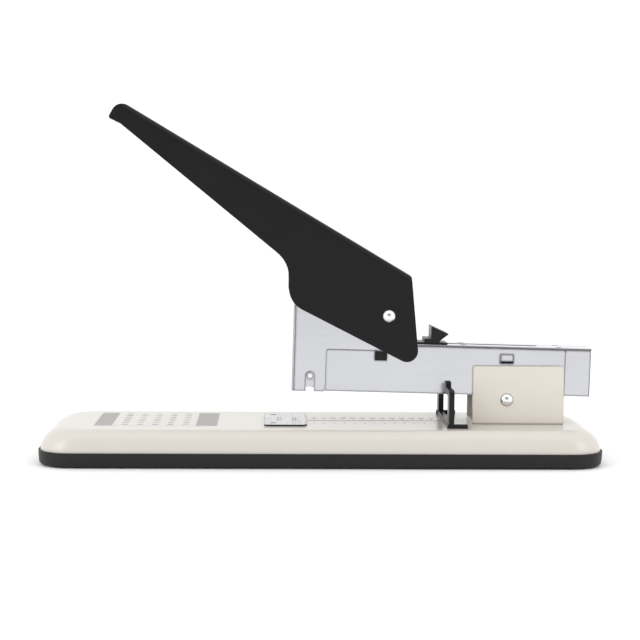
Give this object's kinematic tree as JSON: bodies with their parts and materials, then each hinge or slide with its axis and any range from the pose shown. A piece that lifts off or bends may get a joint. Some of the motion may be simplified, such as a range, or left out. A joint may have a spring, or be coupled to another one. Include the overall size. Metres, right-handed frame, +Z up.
{
  "type": "long-handled desk stapler",
  "caption": "Heavy desk stapler with a long channel handle, chromed head hinged in a rear bracket, sliding paper guide and a curved base.",
  "frame": {"origin": "centre of the base's underside, on the bench", "axes": "+X along the base towards the pivot end, +Y across the base, +Z up"},
  "size_m": [0.2764, 0.0782, 0.1753],
  "materials": {
    "black_plastic": "satin moulded black",
    "cream_paint": "semi-gloss cream enamel",
    "black_paint": "satin black powder coat",
    "chrome": "bright plated sheet",
    "bright_steel": "bright ground steel",
    "plain_steel": "zinc-plated steel",
    "spring_steel": "drawn spring wire",
    "brass": "turned brass",
    "rubber": "matt black rubber"
  },
  "bodies": {
    "base": {"base_tray": "black_plastic", "base_cover": "cream_paint", "base_stiffener": "plain_steel", "anvil_plate": "bright_steel", "anvil_rivets": "plain_steel", "rubber_feet": "rubber", "tray_screws": "plain_steel", "pivot_bracket": "cream_paint", "bracket_screws": "plain_steel", "head_pivot_pin": "chrome", "lift_spring": "spring_steel"},
    "head": {"outer_frame": "chrome", "head_channel": "chrome", "front_plate": "chrome", "top_cover": "chrome", "cover_rivets": "plain_steel", "magazine": "plain_steel", "magazine_studs": "chrome", "staple_rail": "plain_steel", "staple_strip": "bright_steel", "guide_rod": "plain_steel", "rod_holder": "black_plastic", "rear_stop": "chrome", "pusher_spring": "spring_steel", "driver_spring": "spring_steel", "spring_anchor": "plain_steel"},
    "handle": {"handle_shell": "black_paint", "press_lever": "plain_steel", "press_axle": "plain_steel", "press_roller": "plain_steel", "handle_pivot_pin": "chrome", "pivot_bushes": "brass", "pivot_washers": "plain_steel", "handle_spring": "spring_steel"},
    "driver": {"driver_block": "plain_steel", "driver_blade": "bright_steel", "driver_rivets": "plain_steel"},
    "pusher": {"pusher_block": "plain_steel", "pusher_knob": "black_plastic"},
    "guide": {"paper_guide": "black_plastic", "guide_key": "plain_steel", "guide_washer": "brass", "guide_clamp": "plain_steel"}
  },
  "joints": [
    {"name": "head_swing", "type": "hinge", "parent": "base", "child": "head", "pos_m": [0.0925, 0, 0.0306], "axis": [0, -1, 0], "range_deg": [0, 8], "stiffness_Nm_per_rad": 5, "springref_deg": -11.46, "deforming": ["lift_spring"]},
    {"name": "handle_swing", "type": "hinge", "parent": "head", "child": "handle", "pos_m": [0.03322, 0, 0.07205], "axis": [0, -1, 0], "range_deg": [0, 19], "stiffness_Nm_per_rad": 1, "springref_deg": -28.65, "deforming": ["handle_spring"]},
    {"name": "driver_slide", "type": "slide", "parent": "head", "child": "driver", "axis": [-0.0227, 0, -0.9997], "range_m": [0, 0.014], "deforming": ["driver_spring"]},
    {"name": "pusher_slide", "type": "slide", "parent": "head", "child": "pusher", "axis": [0.9997, 0, -0.0227], "range_m": [0, 0.05], "stiffness_N_per_m": 60, "springref_m": -0.08, "deforming": ["pusher_spring"]},
    {"name": "guide_slide", "type": "slide", "parent": "base", "child": "guide", "axis": [-1, 0, 0], "range_m": [0, 0.062]}
  ],
  "couplings": [
    {"joint": "driver_slide", "follows": "handle_swing", "m_per_rad": 0.04141}
  ]
}
